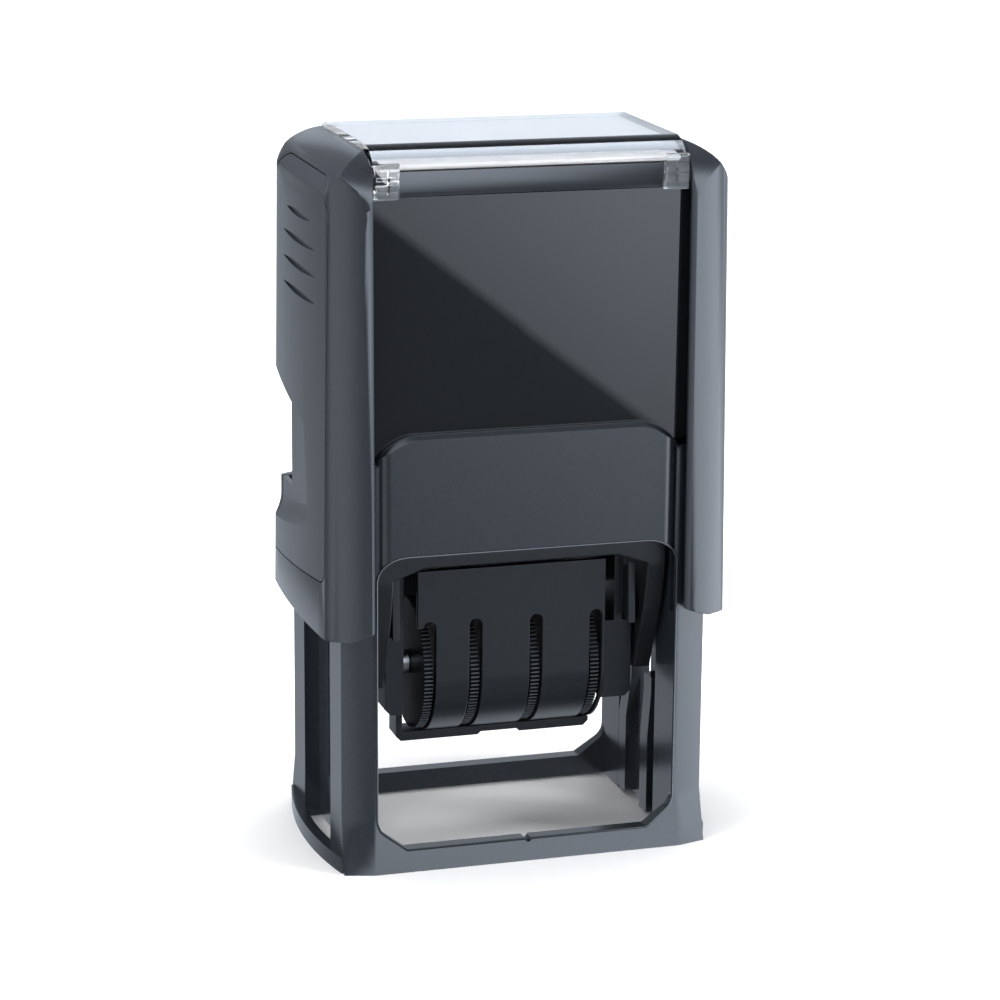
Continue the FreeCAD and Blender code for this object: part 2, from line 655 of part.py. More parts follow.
def side_panel():
    """The right side panel, set flush in the casing, with the grip grooves and the opening."""
    skin = casing_hull(0).cut(casing_hull(CASING_WALL)).fuse(hollow_wall()).common(side_panel_block(0))
    return skin.cut(side_openings() + [groove(i) for i in range(GRIP_COUNT)])


def carrier():
    """The yoke under the roof with the two arms that hold the pivot pins."""
    top = ROOF_LOW - SEAM
    arm = prism(
        "yz", ARM_IN, ARM_OUT, (-ARM_HALF, top), (-ARM_HALF, PIVOT_Z), ((0, PIVOT_Z - ARM_HALF), (ARM_HALF, PIVOT_Z)),
        (ARM_HALF, top))
    yoke = box(-ARM_OUT, ARM_OUT, -ARM_HALF, ARM_HALF, top - YOKE_T, top)
    pegs = [spigot(x, top - YOKE_T, -1) for x in (-SPRING_X, SPRING_X)]
    return joined([arm, across(arm), yoke] + pegs).cut(rod(PIN_R + PIN_FIT, -SIDE_BOW_X, SIDE_BOW_X, 0, PIVOT_Z))


def index_window():
    """The clear lid over the index card, curved down in front and behind, with two clips in front."""
    lip = BAR_Y + SEAM
    mid_y = (LID_FLAT_Y + lip) / 2
    lip_z = HEIGHT - LID_DEPTH
    mid_z = HEIGHT - LID_DEPTH / 4
    skin = LID_T / 2
    under = HEIGHT - LID_T
    under_mid = under - (under - lip_z) / 4
    lid = prism(
        "yz", -LID_X, LID_X, (-lip, lip_z), ((-mid_y, mid_z), (-LID_FLAT_Y, HEIGHT)), (LID_FLAT_Y, HEIGHT),
        ((mid_y, mid_z), (lip, lip_z)), (lip - skin, lip_z),
        ((mid_y - skin, under_mid), (LID_FLAT_Y - skin, under)), (-LID_FLAT_Y + skin, under),
        ((-mid_y + skin, under_mid), (-lip + skin, lip_z)))
    clip_top = HEIGHT - CLIP_DROP
    clip = box(LID_X - CLIP_W, LID_X, -lip - CLIP_T, -lip + TINY, clip_top - CLIP_H, clip_top)
    return joined([lid, clip, across(clip)])


def index_card():
    """The paper card that lies under the window."""
    x = LID_X - CARD_MARGIN
    y = ROOF_FLAT_Y - CARD_MARGIN
    return box(-x, x, -y, y, ROOF_TOP, ROOF_TOP + CARD_T)


def date_opening():
    """The oblong hole that the date bands reach through."""
    y = BAND_HEAD_Y + SLOT_MARGIN
    return box(DATE_BANDS_X[0][0] - SLOT_MARGIN, DATE_BANDS_X[-1][1] + SLOT_MARGIN, -y, y, 0, HEIGHT)


def platen():
    """The turning plate with its skirts, cheeks and pivot pins."""
    plate = box(-PLATEN_X, PLATEN_X, -PLATEN_Y, PLATEN_Y, PLATEN_TOP - PLATEN_T, PLATEN_TOP)
    skirt = prism(
        "xz", -PLATEN_Y, -PLATEN_Y + SKIRT_T, (-PLATEN_X, PLATEN_TOP - PLATEN_T), (-PLATEN_X, SKIRT_SIDE_LOW),
        (-CHEEK_X, SKIRT_SIDE_LOW), (-SKIRT_FLAT_X, SKIRT_LOW), (SKIRT_FLAT_X, SKIRT_LOW), (CHEEK_X, SKIRT_SIDE_LOW),
        (PLATEN_X, SKIRT_SIDE_LOW), (PLATEN_X, PLATEN_TOP - PLATEN_T))
    top = PLATEN_TOP - PLATEN_T
    side = prism(
        "yz", CHEEK_X, PLATEN_X, (-PLATEN_Y, top), (-PLATEN_Y, SKIRT_SIDE_LOW),
        ((-CHEEK_WAIST_Y, CHEEK_WAIST_Z), (-CHEEK_KNEE_Y, CHEEK_KNEE_Z)), (-CHEEK_FOOT_Y, CHEEK_LOW),
        (CHEEK_FOOT_Y, CHEEK_LOW), (CHEEK_KNEE_Y, CHEEK_KNEE_Z),
        ((CHEEK_WAIST_Y, CHEEK_WAIST_Z), (PLATEN_Y, SKIRT_SIDE_LOW)), (PLATEN_Y, top))
    side = side.fuse(rod(PIN_R, PLATEN_X - SEAM, ARM_OUT - SEAM, 0, PIVOT_Z))
    return joined([plate, skirt, behind(skirt), side, across(side)]).cut(date_opening())


def text_die():
    """The rubber sheet that prints, bare, with a hole for the date."""
    return box(-DIE_X, DIE_X, -DIE_Y, DIE_Y, PLATEN_TOP, DIE_TOP).cut(date_opening())


def hub_span(index):
    """Where a wheel's drum begins and ends along X, from the disc to just past its band."""
    x = DATE_WHEELS_X[index]
    low, high = DATE_BANDS_X[index]
    return min(x, low - HUB_MARGIN), max(x, high + HUB_MARGIN)


def date_wheel(index):
    """A toothed thumb disc with the drum that drives its band."""
    x = DATE_WHEELS_X[index]
    low, high = hub_span(index)
    disc = rod(WHEEL_R, x - WHEEL_T / 2, x + WHEEL_T / 2, 0, WHEEL_Z)
    half = math.pi * WHEEL_R / TOOTH_COUNT / 2
    tools = [rod(SHAFT_R + PIN_FIT, x - HEIGHT, x + HEIGHT, 0, WHEEL_Z)]
    for i in range(TOOTH_COUNT):
        tool = box(x - WHEEL_T, x + WHEEL_T, -half, half, WHEEL_R - TOOTH_DEPTH, WHEEL_R + PASS)
        tool.rotate(V(0, 0, 0), V(1, 0, 0), 360 * i / TOOTH_COUNT)
        tool.translate(V(0, 0, WHEEL_Z))
        tools.append(tool)
    return disc.fuse(rod(HUB_R, low, high, 0, WHEEL_Z)).removeSplitter().cut(tools)


def band_loop(x0, x1, draw_in):
    """The closed path of a date band: round its drum below and over the bridge above."""
    r = HUB_R + BAND_GAP + BAND_T - draw_in
    head = BAND_HEAD_Y - draw_in
    top = DIE_TOP - draw_in
    bend = head / 3
    return prism(
        "yz", x0, x1, (-r, WHEEL_Z), ((0, WHEEL_Z - r), (r, WHEEL_Z)),
        (head, top - bend), (head - bend, top), (-head + bend, top), (-head, top - bend))


def date_band(index):
    """A bare rubber band over the bridge and round its drum."""
    x0, x1 = DATE_BANDS_X[index]
    return band_loop(x0, x1, 0).cut(band_loop(x0 - PASS, x1 + PASS, BAND_T))


def band_bridge():
    """The bar that backs the bands behind the printing face, raised where the platen is open for them."""
    x = HOUSE_IN - SEAM
    y = BRIDGE_Y
    inner = y - BRIDGE_BEVEL
    bend = BRIDGE_TOP - BRIDGE_BEVEL
    bar = box(-x, x, -y, y, BRIDGE_LOW, PLATEN_TOP - PLATEN_T - SEAM)
    head = prism(
        "yz", DATE_BANDS_X[0][0], DATE_BANDS_X[-1][1], (-y, BRIDGE_LOW), (y, BRIDGE_LOW), (y, bend),
        (inner, BRIDGE_TOP), (-inner, BRIDGE_TOP), (-y, bend))
    return joined([bar, head])


def unit_block(x0, x1, draw_in):
    """The date unit's section: flat in front and behind, round below the wheels."""
    r = COVER_R - draw_in
    top = PLATEN_TOP - PLATEN_T - SEAM
    return prism("yz", x0, x1, (-r, top), (-r, WHEEL_Z), ((0, WHEEL_Z - r), (r, WHEEL_Z)), (r, top))


def house_side(inner, leg_in, sill_out, y):
    """The housing's right side: a thin plate above, a thick block with eased corners below, and the sill's leg."""
    plate = box(HOUSE_IN, HOUSE_OUT, -BLOCK_Y, BLOCK_Y, BLOCK_TOP - TINY, PLATEN_TOP - PLATEN_T - SEAM)
    block = prism(
        "xz", -BLOCK_Y, BLOCK_Y, (inner, BLOCK_LOW), (BLOCK_OUT - BLOCK_BEVEL, BLOCK_LOW),
        (BLOCK_OUT, BLOCK_LOW + BLOCK_BEVEL), (BLOCK_OUT, BLOCK_TOP), (inner, BLOCK_TOP))
    leg = box(leg_in, sill_out, -y, y, SILL_LOW + SILL_END, LEG_TOP)
    bracket = box(leg_in, inner + TINY, -y, y, BLOCK_LOW, LEG_TOP)
    return [plate, block, leg, bracket]


def date_housing():
    """Two sides with the sill below them, in one moulding."""
    gusset = prism("yz", HOUSE_OUT - TINY, HOUSE_OUT + GUSSET_T, *zip(GUSSET_Y, GUSSET_Z))
    left = [across(piece) for piece in house_side(BLOCK_LEFT, LEG_LEFT, SILL_LEFT, LEG_LEFT_Y)]
    sill = prism(
        "xz", -SILL_Y, SILL_Y, (-SILL_LEFT, SILL_LOW + SILL_T), (-SILL_LEFT, SILL_LOW + SILL_END),
        (-SILL_LEFT + SILL_END, SILL_LOW), (-SILL_RISE_X, SILL_LOW),
        (-SILL_RISE_X + SILL_RISE, SILL_LOW + SILL_RISE), (SILL_RISE_X - SILL_RISE, SILL_LOW + SILL_RISE),
        (SILL_RISE_X, SILL_LOW), (SILL_RIGHT - SILL_END, SILL_LOW), (SILL_RIGHT, SILL_LOW + SILL_END),
        (SILL_RIGHT, SILL_LOW + SILL_T))
    right = house_side(BLOCK_RIGHT, LEG_RIGHT, SILL_RIGHT, LEG_RIGHT_Y)
    whole = joined(left + right + [gusset, across(gusset), sill])
    return whole.cut(rod(SHAFT_R + PIN_FIT / 2, -SIDE_BOW_X, SIDE_BOW_X, 0, WHEEL_Z))


def date_cover():
    """The front cover: a flat plate that bends round under the wheels, with a slot for each disc."""
    skin = unit_block(COVER_LEFT, COVER_RIGHT, 0).cut(unit_block(COVER_LEFT - PASS, COVER_RIGHT + PASS, COVER_T))
    keep = box(COVER_LEFT, COVER_RIGHT, -COVER_R - PASS, -COVER_FOOT_Y, SILL_LOW, COVER_TOP)
    r = COVER_SLOT_W / 2
    slots = []
    for i, x in enumerate(DATE_WHEELS_X):
        left = COVER_LEFT - PASS if i == 0 else x - r
        top = COVER_SLOT_TOP - r
        slots.append(prism(
            "xz", -COVER_R - PASS, 0, (left, SILL_LOW), (x + r, SILL_LOW), (x + r, top),
            ((x, COVER_SLOT_TOP), (x - r, top)), (left, top)))
    bridge = box(COVER_LEFT, COVER_RIGHT, -COVER_R, -COVER_R + COVER_T, COVER_SLOT_TOP + r, COVER_TOP)
    return skin.common(keep).cut(slots).fuse(bridge).removeSplitter()


def wheel_shaft():
    """The pin that all four wheels turn on, fixed in the housing's sides, with a collar beside the first disc."""
    pin = rod(SHAFT_R, -BLOCK_OUT, BLOCK_OUT, 0, WHEEL_Z)
    disc = DATE_WHEELS_X[0] - WHEEL_T / 2
    return pin.fuse(rod(COLLAR_R, -BLOCK_LEFT + SEAM, disc - SEAM, 0, WHEEL_Z)).removeSplitter()


def pad_tray():
    """The ink pad's cartridge: a box open below, with a finger grip at each rear corner."""
    shell = box(-TRAY_X, TRAY_X, -TRAY_FRONT, TRAY_REAR, TRAY_LOW, TRAY_TOP)
    grip = prism(
        "yz", TRAY_X - SEAM, WING_X, (WING_FRONT, WING_LOW), (TRAY_REAR, WING_LOW),
        (TRAY_REAR, TRAY_TOP - WING_NOTCH_H), (TRAY_REAR - WING_NOTCH, TRAY_TOP),
        ((TRAY_REAR + WING_BULGE, TRAY_TOP + WING_BULGE_H), (WING_TOP_Y, TRAY_TOP + WING_TOP_H)),
        (WING_FRONT, TRAY_TOP + WING_TOP_H))
    x = TRAY_X - TRAY_T
    well = box(-x, x, -TRAY_FRONT + TRAY_T, TRAY_REAR - TRAY_T, 0, PAD_TOP + SEAM)
    return joined([shell, grip, across(grip)]).cut(well)


def ink_pad():
    """The felt block in the cartridge."""
    x = TRAY_X - TRAY_T - SEAM
    return box(-x, x, -TRAY_FRONT + TRAY_T + SEAM, TRAY_REAR - TRAY_T - SEAM, PAD_FACE, PAD_TOP)


def return_spring(x):
    """The room of a return spring: a plain sleeve round the pegs, from the deck to the yoke."""
    low = V(x, 0, DECK_LOW + DECK_T)
    rise = ROOF_LOW - SEAM - YOKE_T - DECK_LOW - DECK_T
    return Part.makeCylinder(SPRING_R, rise, low).cut(Part.makeCylinder(SPRING_BORE_R, rise, low))


def main():
    os.makedirs("parts", exist_ok=True)
    panel = side_panel()
    cover = date_cover()
    nodes = {
        "base_frame": base_frame(),
        "return_spring_left": return_spring(-SPRING_X),
        "return_spring_right": return_spring(SPRING_X),
        "pad_tray": pad_tray(),
        "ink_pad": ink_pad(),
        "casing": casing(),
        "front_panel": front_panel(),
        "rear_panel": rear_panel(),
        "side_panel_left": across(panel),
        "side_panel_right": panel,
        "carrier": carrier(),
        "index_card": index_card(),
        "index_window": index_window(),
        "platen": platen(),
        "text_die": text_die(),
        "date_housing": date_housing(),
        "date_cover_front": cover,
        "date_cover_rear": behind(cover),
        "band_bridge": band_bridge(),
        "wheel_shaft": wheel_shaft(),
    }
    for i in range(len(DATE_WHEELS_X)):
        nodes[f"date_wheel_{i + 1}"] = date_wheel(i)
        nodes[f"date_band_{i + 1}"] = date_band(i)
    for name, shape in nodes.items():
        if len(shape.Solids) == 1:
            shape = shape.Solids[0]
        print(name, "solids", len(shape.Solids), "valid", shape.isValid(), "volume", round(shape.Volume, 1))
        shape.exportStep(f"parts/{name}.step")


main()
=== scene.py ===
# Looks for the self-inking date stamp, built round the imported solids. Metres, Z up.
import json
import math

import bmesh
import bpy
from mathutils import Matrix, Vector


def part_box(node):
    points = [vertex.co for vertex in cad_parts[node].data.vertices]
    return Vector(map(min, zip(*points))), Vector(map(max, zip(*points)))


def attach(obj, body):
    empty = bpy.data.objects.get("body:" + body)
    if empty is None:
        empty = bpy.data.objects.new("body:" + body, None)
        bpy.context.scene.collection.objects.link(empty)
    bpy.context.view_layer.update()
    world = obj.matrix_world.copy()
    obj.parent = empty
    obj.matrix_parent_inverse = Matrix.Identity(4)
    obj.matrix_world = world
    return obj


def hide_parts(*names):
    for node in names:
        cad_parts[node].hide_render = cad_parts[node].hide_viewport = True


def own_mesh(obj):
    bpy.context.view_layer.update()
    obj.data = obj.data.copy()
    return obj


MM = 0.001
IMAGE_PX = 1000
SENSOR_MM = 36.0

# Camera: where it looks, how far away it stands, and its angles
LOOK_AT = Vector((0, 0, 50)) * MM
SHIFT_RIGHT = 0.43999 * MM
SHIFT_UP = -3.45161 * MM
DISTANCE = 433.9875 * MM
FOCAL_PX = 3164.013
AZIMUTH = -0.29081
ELEVATION = 0.25815
ROLL = 0.00852
CLIP_START = 0.01

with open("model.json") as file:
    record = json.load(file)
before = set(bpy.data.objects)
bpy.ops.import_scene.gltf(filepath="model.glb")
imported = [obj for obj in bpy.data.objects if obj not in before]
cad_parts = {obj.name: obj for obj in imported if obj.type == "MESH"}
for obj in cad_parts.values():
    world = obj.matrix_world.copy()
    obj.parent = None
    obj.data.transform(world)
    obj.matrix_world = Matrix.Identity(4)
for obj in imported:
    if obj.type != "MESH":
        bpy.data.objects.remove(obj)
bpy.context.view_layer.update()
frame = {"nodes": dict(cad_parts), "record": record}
record = frame["record"]
nodes = frame["nodes"]
body_of = {node: body for body, members in record["behaviour"]["bodies"].items() for node in members}
slot_of = {part["node"]: part["material_slot"] for part in record["subparts"]}


def make_camera():
    """The photograph's viewpoint, from its fitted angles, distance and focal length."""
    back = Vector((math.sin(AZIMUTH) * math.cos(ELEVATION), -math.cos(AZIMUTH) * math.cos(ELEVATION),
                   math.sin(ELEVATION)))
    level = Vector((math.cos(AZIMUTH), math.sin(AZIMUTH), 0))
    rise = back.cross(level)
    right = level * math.cos(ROLL) + rise * math.sin(ROLL)
    up = rise * math.cos(ROLL) - level * math.sin(ROLL)
    data = bpy.data.cameras.new("photo_camera")
    data.sensor_width = SENSOR_MM
    data.lens = FOCAL_PX * SENSOR_MM / IMAGE_PX
    data.clip_start = CLIP_START
    camera = bpy.data.objects.new("photo_camera", data)
    bpy.context.scene.collection.objects.link(camera)
    turn = Matrix((right, up, back)).transposed().to_4x4()
    place = LOOK_AT + right * SHIFT_RIGHT + up * SHIFT_UP + back * DISTANCE
    camera.matrix_world = Matrix.Translation(place) @ turn
    bpy.context.scene.camera = camera


make_camera()
bpy.context.scene.view_settings.view_transform = "Standard"


# Shader helpers
def make_group(name, inputs, outputs):
    """A shader node group with named inputs and outputs; a tuple is a colour, a number is a float."""
    tree = bpy.data.node_groups.new(name, "ShaderNodeTree")
    for label, value in inputs:
        kind = "NodeSocketColor" if isinstance(value, tuple) else "NodeSocketFloat"
        tree.interface.new_socket(label, in_out="INPUT", socket_type=kind).default_value = value
    for label, kind in outputs:
        tree.interface.new_socket(label, in_out="OUTPUT", socket_type=kind)
    return tree, tree.nodes.new("NodeGroupInput"), tree.nodes.new("NodeGroupOutput")


def add(tree, kind, **settings):
    """A new node with its settings."""
    node = tree.nodes.new(kind)
    for name, value in settings.items():
        setattr(node, name, value)
    return node


def fill(tree, places, terms):
    """Gives each input a socket's value or a plain one."""
    for place, term in zip(places, terms):
        if isinstance(term, bpy.types.NodeSocket):
            tree.links.new(term, place)
        else:
            place.default_value = term


def maths(tree, operation, *terms):
    """One sum of sockets and numbers."""
    node = add(tree, "ShaderNodeMath", operation=operation)
    fill(tree, node.inputs, terms)
    return node.outputs[0]


def vectors(tree, operation, *terms):
    """One sum of vectors."""
    node = add(tree, "ShaderNodeVectorMath", operation=operation)
    fill(tree, node.inputs, terms)
    return node.outputs["Value" if operation == "LENGTH" else "Vector"]


def map_range(tree, value, start=0.0, end=1.0, low=0.0, high=1.0, **settings):
    """Carries start to end over to low to high, and holds the value at the ends."""
    node = add(tree, "ShaderNodeMapRange", **settings)
    labels = ("Value", "From Min", "From Max", "To Min", "To Max")
    fill(tree, [node.inputs[label] for label in labels], (value, start, end, low, high))
    return node.outputs["Result"]


def blend(tree, share, one, two):
    """A colour between two others."""
    node = add(tree, "ShaderNodeMix", data_type="RGBA")
    fill(tree, [node.inputs[label] for label in ("Factor", "A", "B")], (share, one, two))
    return node.outputs["Result"]


def noise(tree, scale, detail=2.0, roughness=0.5):
    """A noise that stays with the object."""
    node = add(tree, "ShaderNodeTexNoise")
    place = add(tree, "ShaderNodeTexCoord").outputs["Object"]
    labels = ("Vector", "Scale", "Detail", "Roughness")
    fill(tree, [node.inputs[label] for label in labels], (place, scale, detail, roughness))
    return node.outputs["Fac"]


def new_material(name):
    """A material with its node tree and its main shader."""
    material = bpy.data.materials.new(name)
    material.use_nodes = True
    return material, material.node_tree, material.node_tree.nodes["Principled BSDF"]


# Materials
CLOUD_SCALE = 55
SPECK_SCALE = 900
SPECK_RANGE = (0.58, 0.8)
DUST_COLOUR = (0.32, 0.33, 0.34, 1)


def moulded_group():
    """Moulded plastic: a fine grain for the bump, cloudy gloss, and faint dust that lightens the colour."""
    tree, given, out = make_group(
        "moulded_plastic",
        [("Colour", (0.05, 0.05, 0.05, 1)), ("Grain Scale", 3000.0), ("Roughness", 0.4), ("Gloss Drift", 0.06),
         ("Dust", 0.1)],
        [("Colour", "NodeSocketColor"), ("Roughness", "NodeSocketFloat"), ("Height", "NodeSocketFloat")])
    grain = noise(tree, given.outputs["Grain Scale"], 3.0, 0.6)
    cloud = maths(tree, "SUBTRACT", noise(tree, CLOUD_SCALE, 4.0), 0.5)
    gloss = maths(tree, "MULTIPLY_ADD", cloud, given.outputs["Gloss Drift"], given.outputs["Roughness"])
    speck = map_range(tree, noise(tree, SPECK_SCALE), *SPECK_RANGE)
    dust = maths(tree, "MULTIPLY", speck, given.outputs["Dust"])
    colour = blend(tree, dust, given.outputs["Colour"], DUST_COLOUR)
    for label, value in (("Colour", colour), ("Roughness", gloss), ("Height", grain)):
        tree.links.new(value, out.inputs[label])
    return tree


MOULDED = moulded_group()
BUMP_DEPTH = 0.0001


def plastic(name, colour, roughness, grain_scale, bump, drift, dust, specular=0.5):
    """A moulded plastic with its own colour, gloss and grain."""
    material, tree, shader = new_material(name)
    group = add(tree, "ShaderNodeGroup", node_tree=MOULDED)
    labels = ("Colour", "Grain Scale", "Roughness", "Gloss Drift", "Dust")
    fill(tree, [group.inputs[label] for label in labels], ((*colour, 1), grain_scale, roughness, drift, dust))
    relief = add(tree, "ShaderNodeBump")
    relief.inputs["Strength"].default_value = bump
    relief.inputs["Distance"].default_value = BUMP_DEPTH
    tree.links.new(group.outputs["Height"], relief.inputs["Height"])
    labels = ("Base Color", "Roughness", "Normal", "Specular IOR Level")
    fill(tree, [shader.inputs[label] for label in labels],
         (group.outputs["Colour"], group.outputs["Roughness"], relief.outputs["Normal"], specular))
    return material


WHEEL_Z = 24.3 * MM
TIP_R = 9.3 * MM
# Painted highlight on the tooth tips: between these radii the colour turns lighter.
TIP_HIGHLIGHT_BAND = (TIP_R - 0.2 * MM, TIP_R - 0.05 * MM)
TIP_HIGHLIGHT_COLOUR = (0.06, 0.068, 0.078, 1)


def toothed_plastic(name, *look):
    """The wheels' plastic, with a painted highlight: lighter on the tips of the teeth."""
    material = plastic(name, *look)
    tree = material.node_tree
    away = vectors(tree, "SUBTRACT", add(tree, "ShaderNodeTexCoord").outputs["Object"], (0, 0, WHEEL_Z))
    radius = vectors(tree, "LENGTH", vectors(tree, "MULTIPLY", away, (0, 1, 1)))
    base = tree.nodes["Principled BSDF"].inputs["Base Color"]
    tip_highlight = blend(tree, map_range(tree, radius, *TIP_HIGHLIGHT_BAND), base.links[0].from_socket, TIP_HIGHLIGHT_COLOUR)
    tree.links.new(tip_highlight, base)
    return material


def clear_plastic():
    """Clear moulded plastic, slightly grey where it is seen edge-on."""
    material, tree, shader = new_material("clear_plastic")
    for label, value in (("Base Color", (0.93, 0.95, 0.96, 1)), ("Transmission Weight", 1.0),
                         ("Roughness", 0.03), ("IOR", 1.3)):
        shader.inputs[label].default_value = value
    return material


def steel():
    """Drawn steel wire with fine lines round it."""
    material, tree, shader = new_material("drawn_steel")
    shader.inputs["Metallic"].default_value = 1.0
    shader.inputs["Base Color"].default_value = (0.62, 0.63, 0.64, 1)
    tree.links.new(map_range(tree, noise(tree, 1800), low=0.22, high=0.42), shader.inputs["Roughness"])
    return material


# Colour, roughness, grain scale, bump, drift of the gloss, dust and, where it isn't 0.5, the specular level
PLASTICS = {
    "frame_black": ((0.0105, 0.0135, 0.0175), 0.24, 3200.0, 0.012, 0.02, 0.004),
    "casing_black": ((0.013, 0.0162, 0.0205), 0.22, 3200.0, 0.012, 0.02, 0.004),
    "side_grey": ((0.0165, 0.0205, 0.025), 0.30, 2000.0, 0.05, 0.05, 0.01),
    "panel_gloss": ((0.0045, 0.0055, 0.0068), 0.004, 3000.0, 0.0, 0.0, 0.0),
    # The platen's and the dater's blacks are darker than the casing's: partly their own colour, partly painted shade
    # for parts that sit back under the casing.
    "platen_black": ((0.007, 0.0083, 0.010), 0.34, 2400.0, 0.05, 0.05, 0.01, 0.25),
    "dater_black": ((0.0085, 0.0102, 0.0125), 0.32, 2400.0, 0.05, 0.05, 0.01, 0.22),
    "stamp_rubber": ((0.055, 0.05, 0.05), 0.62, 1800.0, 0.2, 0.05, 0.15),
    "felt": ((0.02, 0.024, 0.075), 0.85, 1400.0, 0.8, 0.05, 0.0),
}
MATERIALS = {slot: plastic(slot, *look) for slot, look in PLASTICS.items()}
MATERIALS["card_white"] = plastic("white_card", (0.475, 0.457, 0.452), 0.75, 1500.0, 0.15, 0.03, 0.0, 0.3)
MATERIALS["wheel_black"] = toothed_plastic(
    "wheel_black", (0.005, 0.0056, 0.0065), 0.45, 2400.0, 0.03, 0.05, 0.0, 0.03)
MATERIALS["window_clear"] = clear_plastic()
MATERIALS["steel"] = steel()
# A rougher copy of the casing's plastic with a lighter colour: painted light for the pillars' inner sides beside the
# panels.
INNER_SIDE_PAINTED_LIGHT = plastic("casing_inner_side_painted_light", (0.024, 0.029, 0.035), 0.6, 3200.0, 0.012, 0.02, 0.004)


def finish_mesh(piece, node):
    """Links a piece, gives it its slot's material, and lets it ride with the node's body."""
    slot = slot_of[node]
    piece.data.materials.clear()
    piece.data.materials.append(MATERIALS[slot])
    bpy.context.scene.collection.objects.link(piece)
    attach(piece, body_of[node])


# Solids with soft edges
SOFT_EDGES = {
    "base_frame": 0.3, "casing": 0.5, "side_panel_left": 0.2, "side_panel_right": 0.2, "front_panel": 0.15,
    "rear_panel": 0.2, "carrier": 0.2, "platen": 0.2, "date_housing": 0.15, "date_cover_front": 0.12,
    "date_cover_rear": 0.12, "pad_tray": 0.3, "index_window": 0.2, "text_die": 0.12, "band_bridge": 0.2,
    "ink_pad": 0.25,
}
ROUNDED = ("casing",)  # smooth all over, with no flat faces to keep
MERGE = 0.002 * MM
FLAT_ANGLE = math.radians(0.4)  # faces that meet flatter than this become one
EDGE_ANGLE = math.radians(24)  # edges sharper than this are rounded
EDGE_SEGMENTS = 2
CREASE_ANGLE = math.radians(50)
MIRROR_AREA = 12 * MM * MM  # glossy faces from this size on stay flat, so that they mirror truly
NORMAL_WEIGHT = 50
INNER_LEAN = 0.25  # the least share of an inner side's direction that is sideways
INNER_X = 21 * MM
INNER_Y = 14 * MM


def paint_light_on_inner_sides(mesh):
    """Gives the pillars' inner sides, beside the panels, a rougher plastic whose lighter colour is painted light,
    standing in for the light these sides reflect.
    """
    mesh.materials.append(INNER_SIDE_PAINTED_LIGHT)
    for face in mesh.polygons:
        x, y, _ = face.center
        lean = face.normal.x
        if abs(lean) > INNER_LEAN and lean * x < 0 and abs(y) > INNER_Y and abs(x) > INNER_X:
            face.material_index = 1


def softened(node, width):
    """A copy of a solid with its sharp edges rounded as a mould leaves them."""
    shape = bmesh.new()
    shape.from_mesh(nodes[node].data)
    bmesh.ops.remove_doubles(shape, verts=shape.verts, dist=MERGE)
    bmesh.ops.dissolve_limit(shape, angle_limit=FLAT_ANGLE, verts=shape.verts, edges=shape.edges)
    sharp = [edge for edge in shape.edges if len(edge.link_faces) == 2 and edge.calc_face_angle(0) > EDGE_ANGLE]
    bmesh.ops.bevel(shape, geom=sharp, offset=width * MM, offset_type="OFFSET", affect="EDGES",
                    segments=EDGE_SEGMENTS, profile=0.5, clamp_overlap=True, material=-1)
    for face in shape.faces:
        face.smooth = slot_of[node] != "panel_gloss" or face.calc_area() < MIRROR_AREA
    mesh = bpy.data.meshes.new("soft_" + node)
    shape.to_mesh(mesh)
    shape.free()
    mesh.set_sharp_from_angle(angle=CREASE_ANGLE)
    piece = bpy.data.objects.new("soft_" + node, mesh)
    if node not in ROUNDED:
        normals = piece.modifiers.new("weighted", "WEIGHTED_NORMAL")
        normals.keep_sharp = True
        normals.weight = NORMAL_WEIGHT
    finish_mesh(piece, node)
    if node == "casing":
        # Painted light: the pillars' inner sides get the lighter plastic.
        paint_light_on_inner_sides(mesh)
    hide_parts(node)


for node, width in SOFT_EDGES.items():
    softened(node, width)


# Pieces drawn here in millimetres
def box_mm(node):
    """A solid's lowest and highest corners, in millimetres."""
    return ([value / MM for value in corner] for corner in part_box(node))


def new_piece(name, shape, node, sharp=40, replace=False):
    """A mesh made in millimetres, finished and riding with the node's body."""
    bmesh.ops.scale(shape, vec=(MM, MM, MM), verts=shape.verts)
    bmesh.ops.recalc_face_normals(shape, faces=shape.faces)
    for face in shape.faces:
        face.smooth = True
    mesh = bpy.data.meshes.new(name)
    shape.to_mesh(mesh)
    shape.free()
    mesh.set_sharp_from_angle(angle=math.radians(sharp))
    piece = bpy.data.objects.new(name, mesh)
    finish_mesh(piece, node)
    if replace:
        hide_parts(node)
    return piece


def skin(shape, loops, closed=True, caps=False):
    """Joins rings of as many points each with quads; closed joins the last ring to the first."""
    rings = [[shape.verts.new(point) for point in loop] for loop in loops]
    count = len(rings[0])
    pairs = list(zip(rings, rings[1:])) + ([(rings[-1], rings[0])] if closed else [])
    for one, two in pairs:
        for i in range(count):
            k = (i + 1) % count
            shape.faces.new((one[i], one[k], two[k], two[i]))
    if caps:
        shape.faces.new(rings[0])
        shape.faces.new(rings[-1])


def washer(shape, radii, bore, x0, x1, z):
    """A thick ring about the X axis; radii lists places round it, as shares of a turn, and the radius there."""
    turns = [2 * math.pi * place for place, _ in radii]

    def loop(x, sizes):
        return [(x, r * math.cos(turn), z + r * math.sin(turn)) for r, turn in zip(sizes, turns)]

    outer = [r for _, r in radii]
    inner = [bore] * len(radii)
    skin(shape, [loop(x0, inner), loop(x0, outer), loop(x1, outer), loop(x1, inner)])


